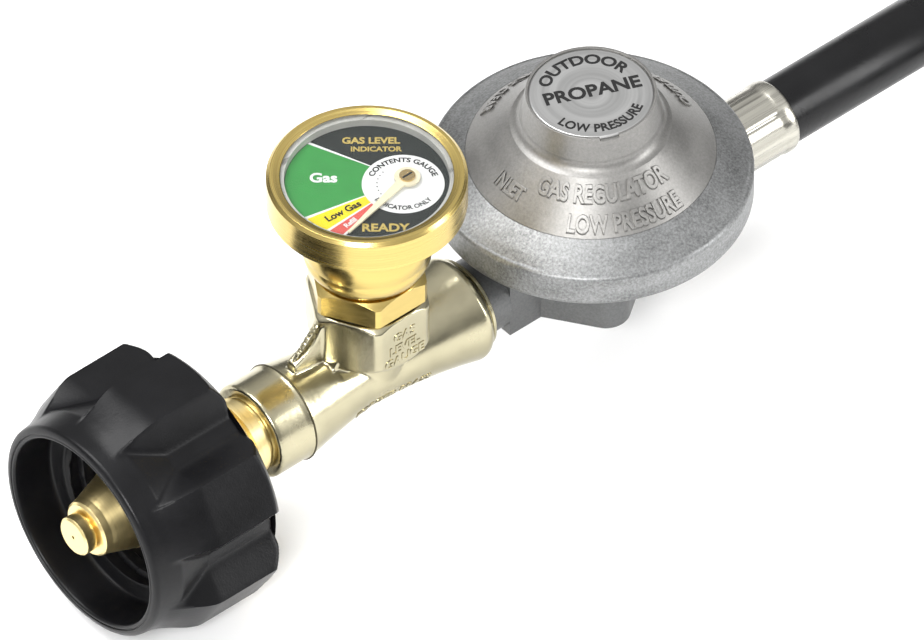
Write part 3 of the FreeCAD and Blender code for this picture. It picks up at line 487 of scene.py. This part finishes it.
def nut_stations():
    """The nut's section as (x, radius or radius function), once round from the rim's outer edge."""
    stations = []
    x = RIM_X + 0.8
    while x < BACK_X - EDGE_ROUNDING:
        stations.append((x, nut_outside))
        x += 0.36
    for angle in (0.3, 0.6, 0.9, 1.25):
        drop = EDGE_ROUNDING * (1 - math.cos(angle))
        stations.append((BACK_X - EDGE_ROUNDING * (1 - math.sin(angle)),
                         lambda x, turn, drop=drop: nut_outside(x, turn) - drop))
    stations += [(BACK_X, 23.0), (BACK_X, 18.0), (BACK_X, 14.0), (BACK_X, NUT_BORE_R),
                 (THREAD_END_X, NUT_BORE_R), (THREAD_END_X, 13.0)]
    x = THREAD_END_X
    while x > MOUTH_END_X + 0.2:
        stations.append((x, nut_thread))
        x -= 0.2
    lip = [(0.1, RIM_R - 0.75), (0.0, RIM_R - 1.0), (0.0, 21.9), (0.22, 21.75), (0.22, 21.6), (0.05, 21.45),
           (0.05, 21.2), (0.2, 20.95), (0.6, MOUTH_R)]
    stations += [(MOUTH_END_X + 0.1, ROOT_R + 0.3), (MOUTH_END_X, ROOT_R + 0.6),
                 (MOUTH_END_X, MOUTH_R - 0.4), (MOUTH_END_X - 0.4, MOUTH_R)]
    stations += [(MOUTH_END_X - 1.5 * k, MOUTH_R) for k in range(1, 6)]
    stations += [(RIM_X + back, radius) for back, radius in reversed(lip)]
    stations += [(RIM_X + 0.25, RIM_R - 0.35), (RIM_X + 0.45, RIM_R - 0.12)]
    return stations


def make_nut():
    rings = []
    for x, radius in nut_stations():
        if callable(radius):
            rings.append(pipe_ring(x, lambda turn: radius(x, turn), NUT_STEPS))
        else:
            rings.append(pipe_ring(x, lambda turn: radius, NUT_STEPS))
    nut = add_piece("nut_moulding", ring_mesh("nut_moulding", rings), "handwheel", nylon, 50)
    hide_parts("handwheel_nut")


make_nut()


# ---- Crimped sleeve on the outlet ----
FERRULE_STEPS = 192


def ferrule_profile(length):
    """Outline of the sleeve's outside, from the end at the casting to the rolled lip on the hose."""
    points = [(0.0, 7.0), (0.15, 7.35), (0.6, 7.55)]
    points += [(blend(1.2, length - 3.6, k / 24), 7.6) for k in range(25)]
    points += [(length - 3.2, 7.62), (length - 2.8, 7.75), (length - 2.3, 7.88), (length - 0.7, 7.9),
               (length - 0.25, 7.75), (length, 7.45), (length, 7.18)]
    return points


def jaw_marks(turn):
    """Depth of the eight narrow grooves that the crimping jaws leave, and of the flats between."""
    return 0.16 * max(0.0, math.cos(8 * turn + 0.6)) ** 14 + 0.05 * math.cos(16 * turn)


def make_ferrule():
    low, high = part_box("outlet_ferrule")
    start = in_pipe(low)
    length = (high.x - low.x) / MM
    centre_z = middle_of("outlet_ferrule").z
    outline = ferrule_profile(length) + [(length - 0.4, 7.12), (1.0, 7.0), (1.0, 5.9), (0.0, 5.9)]
    rings = []
    for along, radius in outline:
        grip = clamp(along / 1.5) * clamp((length - 3.0 - along) / 1.0) if radius > 7.3 else 0.0
        rings.append(pipe_ring(start.x + along, lambda turn: radius - grip * jaw_marks(turn),
                               FERRULE_STEPS, centre_z))
    sleeve = add_piece("crimped_sleeve", ring_mesh("crimped_sleeve", rings), "regulator",
                       crimped, 40)
    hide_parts("outlet_ferrule")


make_ferrule()


# ---- Springs, cut from the CAD coils between levels ----
def part_of(node, axis, low, high):
    """Copy of a CAD mesh between two levels."""
    mesh = NODES[node].data.copy()
    work = bmesh.new()
    work.from_mesh(mesh)
    for level, outward in ((low, -1), (high, 1)):
        place, normal = Vector(), Vector()
        place[axis], normal[axis] = level, outward
        everything = work.verts[:] + work.edges[:] + work.faces[:]
        bmesh.ops.bisect_plane(work, geom=everything, plane_co=place, plane_no=normal, clear_outer=True)
    work.to_mesh(mesh)
    work.free()
    return mesh


def make_spring(name, node, axis, low_level, high_level):
    """Coils between two levels, copied from the CAD spring."""
    low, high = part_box(node)
    start = (low + high) / 2
    end = start.copy()
    start[axis], end[axis] = low_level, high_level
    spring = add_object(name, part_of(node, axis, low_level, high_level))
    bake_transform(spring)
    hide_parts(node)


def make_springs():
    low, high = (corner.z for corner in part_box("main_spring"))
    middle = (low + high) / 2
    make_spring("main_coils_lower", "main_spring", 2, low, middle)
    make_spring("main_coils_upper", "main_spring", 2, middle, high)
    low, high = (corner.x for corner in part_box("limiter_spring"))
    make_spring("limiter_coils", "limiter_spring", 0, low, high)


make_springs()


# ---- Lettering ----
def text_shape(words, height, thickness):
    """Flat letters as points and faces, in millimetres: along the line, up the letter, out of the face."""
    curve = bpy.data.curves.new("words", "FONT")
    curve.body = words
    curve.align_x = "CENTER"
    curve.size = height / 0.7
    curve.extrude = thickness / 2
    curve.offset = height * 0.045
    curve.resolution_u = 4
    holder = add_object("words", curve)
    graph = bpy.context.evaluated_depsgraph_get()
    mesh = bpy.data.meshes.new_from_object(holder.evaluated_get(graph))
    bpy.data.objects.remove(holder)
    bpy.data.curves.remove(curve)
    return mesh


def add_words(name, words, height, thickness, place, body, look):
    """Letters whose every point is set on the object by place(along, up, out)."""
    mesh = text_shape(words, height, thickness)
    mesh.name = name
    for vertex in mesh.vertices:
        vertex.co = at(*place(vertex.co.x, vertex.co.y, vertex.co.z))
    return add_piece(name, mesh, body, look)


def skin_of(node):
    """Search tree over a CAD node's faces, in the frame's metres."""
    source = NODES[node]
    points = [source.matrix_world @ v.co for v in source.data.vertices]
    return BVHTree.FromPolygons(points, [tuple(p.vertices) for p in source.data.polygons])


bonnet_skin = skin_of("bonnet")
tee_skin = skin_of("tee_body")


def round_disc(skin, middle_angle, radius):
    """Place letters round the regulator with their tops towards its tower, on whatever face is there."""
    def place(along, up, out):
        angle = math.radians(middle_angle) + along / radius
        r = radius - up
        x, y = REG_X + r * math.cos(angle), r * math.sin(angle)
        hit = skin.ray_cast(at(x, y, 60), Vector((0, 0, -1)))[0]
        return x, y, in_pipe(hit).z + out
    return place


def flat_line(x, y, z, heading):
    """Place letters on a level face, along a straight line with the given heading."""
    turn = math.radians(heading)

    def place(along, up, out):
        return (x + along * math.cos(turn) - up * math.sin(turn),
                y + along * math.sin(turn) + up * math.cos(turn), z + out)
    return place


def flat_arc(x, y, z, heading, radius):
    """Place letters on a level face round a point: above it for a positive radius, below for a negative."""
    def place(along, up, out):
        angle = math.radians(heading + 90 * math.copysign(1, radius)) - along / radius
        r = abs(radius + up)
        return x + r * math.cos(angle), y + r * math.sin(angle), z + out
    return place


def round_pipe(skin, x0, angle0):
    """Place letters along the tee, wrapped round it. The angle is from straight up towards -Y."""
    def place(along, up, out):
        angle = math.radians(angle0) - up / 10.0
        outward = Vector((0, -math.sin(angle), math.cos(angle)))
        hit = skin.ray_cast(at(x0 + along, 0, 0) + outward * 0.03, -outward)[0]
        spot = in_pipe(hit + outward * out * MM)
        return spot.x, spot.y, spot.z
    return place


def boss_side(x, z):
    """Place letters on the boss's flat side, which faces -Y."""
    face_y = in_pipe(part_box("tee_body")[0]).y

    def place(along, up, out):
        return x + along, face_y - out, z + up
    return place


def make_raised_words():
    rise = 1.0
    add_words("word_regulator", "GAS REGULATOR", 2.6, rise, round_disc(bonnet_skin, -122, 20.0),
              "regulator", dark_zinc)
    add_words("word_low_pressure", "LOW PRESSURE", 2.6, rise, round_disc(bonnet_skin, -112, 24.4),
              "regulator", dark_zinc)
    add_words("word_inlet", "INLET", 2.2, rise, round_disc(bonnet_skin, 180, 22.5),
              "regulator", dark_zinc)
    add_words("word_outlet", "OUTLET", 2.2, rise, round_disc(bonnet_skin, 0, 22.5),
              "regulator", dark_zinc)
    add_words("word_do_not_cover_vent", "KEEP VENT CLEAR", 2.0, rise, round_disc(bonnet_skin, 90, 23.5),
              "regulator", dark_zinc)
    for row, words in enumerate(("GAS", "LEVEL", "GAUGE")):
        add_words(f"boss_{words.lower()}", words, 2.1, 0.3, boss_side(GAUGE_X, 15.6 - 3.1 * row),
                  "regulator", nickel)
    add_words("tee_forging_words", "FORGED BRASS", 1.9, 0.35, round_pipe(tee_skin, 76.0, 118),
              "regulator", nickel)


make_raised_words()


def make_cap_print():
    face = CAP_TOP_Z + 0.02
    heading = -24
    add_words("cap_top_line", "OUTDOOR", 2.5, 0.04, flat_arc(REG_X, 0, face, heading, 8.4),
              "regulator", black_print_and_shade)
    add_words("cap_middle_line", "PROPANE", 3.2, 0.04, flat_line(REG_X, -0.9, face, heading),
              "regulator", black_print_and_shade)
    add_words("cap_bottom_line", "LOW PRESSURE", 2.1, 0.04, flat_arc(REG_X, 0, face, heading, -10.9),
              "regulator", black_print_and_shade)


make_cap_print()


# ---- Dial ----
PIVOT = middle_of("pointer_hub")
DIAL_R = 16.3
DIAL_HEADING = -40
HUB_DISC_R = 8.2
HUB_DISC_X = GAUGE_X + 5.5
HUB_DISC_Y = -4.6
TICK_REACH = 5.2


def dial_edge(degrees):
    """Point on the dial's rim that is seen from the pointer's pivot in a direction."""
    step = Vector((math.cos(math.radians(degrees)), math.sin(math.radians(degrees))))
    start = Vector((PIVOT.x - GAUGE_X, PIVOT.y))
    along = start.dot(step)
    reach = -along + math.sqrt(along ** 2 - start.length_squared + DIAL_R ** 2)
    return (PIVOT.x + step.x * reach, PIVOT.y + step.y * reach)


def flat_print(name, outline, layer, look):
    """Thin printed patch on the dial. Each layer lies 0.015 mm above the one under it."""
    low = DIAL_TOP_Z + 0.01 + 0.015 * layer
    count = len(outline)
    points = [at(x, y, z) for z in (low, low + 0.01) for x, y in outline]
    faces = [tuple(reversed(range(count))), tuple(range(count, 2 * count))]
    faces += [(k, (k + 1) % count, count + (k + 1) % count, count + k) for k in range(count)]
    mesh = bpy.data.meshes.new(name)
    mesh.from_pydata(points, [], faces)
    return add_piece(name, mesh, "regulator", look)


def sector(first, last):
    steps = max(2, int(abs(last - first) / 3))
    rim = [dial_edge(blend(first, last, k / steps)) for k in range(steps + 1)]
    return [(PIVOT.x, PIVOT.y)] + rim


def circle(x, y, radius, steps=72):
    turns = [2 * math.pi * k / steps for k in range(steps)]
    return [(x + radius * math.cos(turn), y + radius * math.sin(turn)) for turn in turns]


def make_dial():
    flat_print("dial_full", sector(112, 168), 0, green_ink)
    flat_print("dial_low", sector(168, 182), 0, yellow_ink)
    flat_print("dial_refill", sector(182, 191), 0, red_ink)
    for index, angle in enumerate((112, 168, 182, 191)):
        flat_print(f"dial_line_{index}", sector(angle - 0.8, angle + 0.8), 1, white_ink)
    flat_print("dial_hub_disc", circle(HUB_DISC_X, HUB_DISC_Y, HUB_DISC_R), 2, white_ink)
    for index in range(9):
        angle = math.radians(100 + 12 * index)
        x, y = HUB_DISC_X + TICK_REACH * math.cos(angle), HUB_DISC_Y + TICK_REACH * math.sin(angle)
        flat_print(f"dial_tick_{index}", circle(x, y, 0.16, 12), 3, black_print_and_shade)
    face = DIAL_TOP_Z + 0.08
    turn = math.radians(DIAL_HEADING)

    def spot(right, up):
        return (GAUGE_X + right * math.cos(turn) - up * math.sin(turn),
                right * math.sin(turn) + up * math.cos(turn))

    for name, words, height, right, up, tilt, look in (
            ("dial_word_title", "GAS LEVEL", 1.7, 0.8, 11.4, 0, gold_ink),
            ("dial_word_title_small", "INDICATOR", 1.3, 1.8, 9.2, 0, gold_ink),
            ("dial_word_gas", "Gas", 2.5, -8.6, 0.6, 0, white_ink),
            ("dial_word_low", "Low Gas", 1.6, -4.3, -8.2, 35, black_print_and_shade),
            ("dial_word_refill", "Refill", 1.1, -2.9, -11.1, 46, white_ink),
            ("dial_word_foot", "READY", 2.1, 3.6, -13.2, 0, gold_ink)):
        add_words(name, words, height, 0.02, flat_line(*spot(right, up), face, DIAL_HEADING + tilt),
                  "regulator", look)
    for name, words, height, radius in (("dial_arc_top", "CONTENTS GAUGE", 1.2, 6.2),
                                        ("dial_arc_bottom", "INDICATOR ONLY", 1.1, -7.2)):
        add_words(name, words, height, 0.02,
                  flat_arc(HUB_DISC_X, HUB_DISC_Y, face, DIAL_HEADING, radius),
                  "regulator", black_print_and_shade)


make_dial()


def make_hub_slot_shade():
    """Dark patch painted as the shade in a screwdriver slot across the hub, turned with the pointer."""
    top = in_pipe(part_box("pointer_hub")[1]).z
    corners = ((-1.2, -0.2), (1.2, -0.2), (1.2, 0.2), (-1.2, 0.2))
    spots = [(PIVOT.x + along, PIVOT.y + across) for along, across in corners]
    # Painted shade: a thin black sheet on the hub's top, where the slot's shade would be.
    mesh = bpy.data.meshes.new("hub_slot_shade")
    mesh.from_pydata([at(x, y, z) for z in (top + 0.01, top + 0.03) for x, y in spots], [],
                     [(3, 2, 1, 0), (4, 5, 6, 7), (0, 1, 5, 4), (1, 2, 6, 5), (2, 3, 7, 6), (3, 0, 4, 7)])
    add_piece("hub_slot_shade", mesh, "needle", black_print_and_shade)


make_hub_slot_shade()


# ---- Painted shadow line behind the tee's collar ----
def make_collar_shadow_line():
    """A thin dark ring, painted as the shadow in the groove between the collar and the tee's body."""
    shadow_line_x, shadow_line_r, thick = 54.0, 10.5, 0.22
    rings = []
    for k in range(144):
        turn = 2 * math.pi * k / 144
        ring = []
        for j in range(10):
            small = 2 * math.pi * j / 10
            r = shadow_line_r + thick * math.cos(small)
            ring.append(at(shadow_line_x + thick * math.sin(small), -r * math.sin(turn), r * math.cos(turn)))
        rings.append(ring)
    add_piece("collar_shadow_line", ring_mesh("collar_shadow_line", rings), "regulator", painted_groove_shadow, 60)


make_collar_shadow_line()


# ---- Rough edge where the tee's web was sheared ----
def make_web_edge():
    """An uneven bead along the web's slope, closed at both ends."""
    start, end = (56.6, 12.35), (63.4, 19.55)
    steps, count, half = 40, 10, 0.55
    noise = random.Random(7)
    slope = Vector((end[0] - start[0], 0, end[1] - start[1])).normalized()
    out = Vector((-slope.z, 0, slope.x))
    rings = []
    for k in range(steps + 1):
        share = k / steps
        middle = Vector((blend(start[0], end[0], share), 0, blend(start[1], end[1], share)))
        narrow = math.sqrt(max(0.02, 1 - (2 * share - 1) ** 6))
        ring = []
        for j in range(count):
            turn = 2 * math.pi * j / count
            rough = 0.12 * noise.uniform(-1, 1)
            p = middle + Vector((0, 1, 0)) * (half + rough) * math.cos(turn) * narrow
            p += out * ((0.3 + rough) * math.sin(turn) * narrow)
            ring.append(at(*p))
        rings.append(ring)
    faces = []
    for first in range(0, steps * count, count):
        for j in range(count):
            after = (j + 1) % count
            faces.append((first + j, first + after, first + count + after, first + count + j))
    faces += [tuple(range(count)), tuple(reversed(range(steps * count, (steps + 1) * count)))]
    mesh = bpy.data.meshes.new("web_edge")
    mesh.from_pydata([p for ring in rings for p in ring], [], faces)
    add_piece("web_edge", mesh, "regulator", nickel, 10)


make_web_edge()


# ---- Camera ----
def make_camera():
    """Very long lens from the front left, 45 degrees above, aimed at the middle of the hard parts."""
    azimuth = math.radians(-40.2)
    elevation = math.radians(45.1)
    distance = 6.0
    aim = at(100.6, 0, -4.3)
    back = Vector((math.sin(azimuth) * math.cos(elevation), -math.cos(azimuth) * math.cos(elevation),
                   math.sin(elevation)))
    data = bpy.data.cameras.new("camera")
    frame_width_at_aim = 0.18405
    data.sensor_width = 36.0
    data.lens = data.sensor_width * distance / frame_width_at_aim
    data.clip_start = 0.5
    data.clip_end = 40
    camera = add_object("camera", data)
    camera.location = aim + back * distance
    camera.rotation_mode = "QUATERNION"
    camera.rotation_quaternion = (-back).to_track_quat("-Z", "Y")
    bpy.context.scene.camera = camera


make_camera()


# ---- Hose ----
HOSE_R = 7.15
HOSE_Z = 0.8
HOSE_FLOOR_Z = -20.05
COIL_X = 320.0
COIL_HIGH_Y = 26.0
OUTER_TURN_R = 79.0
INNER_TURN_R = 61.0
FITTING_Z = middle_of("swivel_nut").z
HOSE_ROUTE = [(182.8, 0.0, HOSE_Z), (211.0, 0.0, HOSE_Z), (238.0, 5.5, -6.4), (262.5, 16.8, -15.5),
              (290.4, COIL_HIGH_Y, HOSE_FLOOR_Z)]


def coil_points():
    """The turn on the floor: a wide half circle, then a tighter one that ends at the fitting."""
    low = COIL_HIGH_Y - 2 * OUTER_TURN_R
    end = low + 2 * INNER_TURN_R
    steps = 12
    overshoot = 2 / (1 + math.cos(math.pi / steps / 2))
    points = []
    for side, first, last in ((1, COIL_HIGH_Y, low), (-1, low, end)):
        middle, radius = (first + last) / 2, (last - first) / 2
        for k in range(steps):
            angle = -math.pi / 2 + math.pi * (k + 0.5) / steps
            lift = max(0.0, (k - 6.5) / (steps - 6.5)) ** 2 if side < 0 else 0.0
            points.append((COIL_X + side * abs(radius) * overshoot * math.cos(angle),
                           middle + radius * overshoot * math.sin(angle),
                           blend(HOSE_FLOOR_Z, FITTING_Z, lift)))
    points.append((COIL_X - 4.0, end, FITTING_Z))
    points.append((COIL_X, end, FITTING_Z))
    return points


def make_hose():
    curve = bpy.data.curves.new("hose", "CURVE")
    curve.dimensions = "3D"
    curve.bevel_depth = HOSE_R * MM
    curve.bevel_resolution = 10
    curve.resolution_u = 10
    route = [at(*p) for p in HOSE_ROUTE + coil_points()]
    spline = curve.splines.new("NURBS")
    spline.points.add(len(route) - 1)
    for point, spot in zip(spline.points, route):
        point.co = (*spot, 1.0)
    spline.order_u = 3
    spline.use_endpoint_u = True
    curve.materials.append(rubber)
    hose = add_object("hose", curve)
    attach(hose, "regulator")
    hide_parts("hose_lead", "hose_coil")


make_hose()


# ---- Floor, light ----
def make_floor():
    mesh = bpy.data.meshes.new("floor")
    size = 4.0
    z = FLOOR_Z - 0.0002
    corners = [(-size, -size, z), (size, -size, z), (size, size, z), (-size, size, z)]
    mesh.from_pydata(corners, [], [(0, 1, 2, 3)])
    floor = add_object("floor", mesh)
    material = bpy.data.materials.new("floor_paper")
    material.use_nodes = True
    shader = material.node_tree.nodes["Principled BSDF"]
    shader.inputs["Base Color"].default_value = (0.97, 0.97, 0.97, 1)
    shader.inputs["Roughness"].default_value = 0.9
    mesh.materials.append(material)


def area_light(name, place, target, size, power):
    data = bpy.data.lights.new(name, "AREA")
    data.shape = "RECTANGLE"
    data.size, data.size_y = size
    data.energy = power
    light = add_object(name, data)
    light.location = place
    light.rotation_mode = "QUATERNION"
    light.rotation_quaternion = (Vector(place) - Vector(target)).to_track_quat("Z", "Y")


def make_lights():
    """Bright sky that darkens towards the horizon, soft boxes above and right, a flash by the camera."""
    world = bpy.data.worlds.new("studio")
    world.use_nodes = True
    tree = world.node_tree
    background = tree.nodes["Background"]
    direction = tree.nodes.new("ShaderNodeTexCoord").outputs["Generated"]
    split = tree.nodes.new("ShaderNodeSeparateXYZ")
    tree.links.new(direction, split.inputs[0])
    height = tree.nodes.new("ShaderNodeMapRange")
    for socket, number in zip(height.inputs[1:5], (0.15, 0.75, 0.22, 0.95)):
        socket.default_value = number
    tree.links.new(split.outputs[2], height.inputs[0])
    background.inputs["Color"].default_value = (1, 1, 1, 1)
    tree.links.new(height.outputs[0], background.inputs["Strength"])
    bpy.context.scene.world = world
    area_light("key", (-0.35, 0.35, 1.1), (0, 0, 0.03), (0.5, 0.8), 13)
    area_light("flash", (-0.75, -0.62, 0.85), (-0.05, 0, 0.03), (0.3, 0.3), 12)
    area_light("side", (0.7, -0.8, 0.45), (0, 0, 0.03), (0.25, 0.7), 6)


make_floor()
make_lights()
bpy.context.scene.view_settings.view_transform = "Standard"
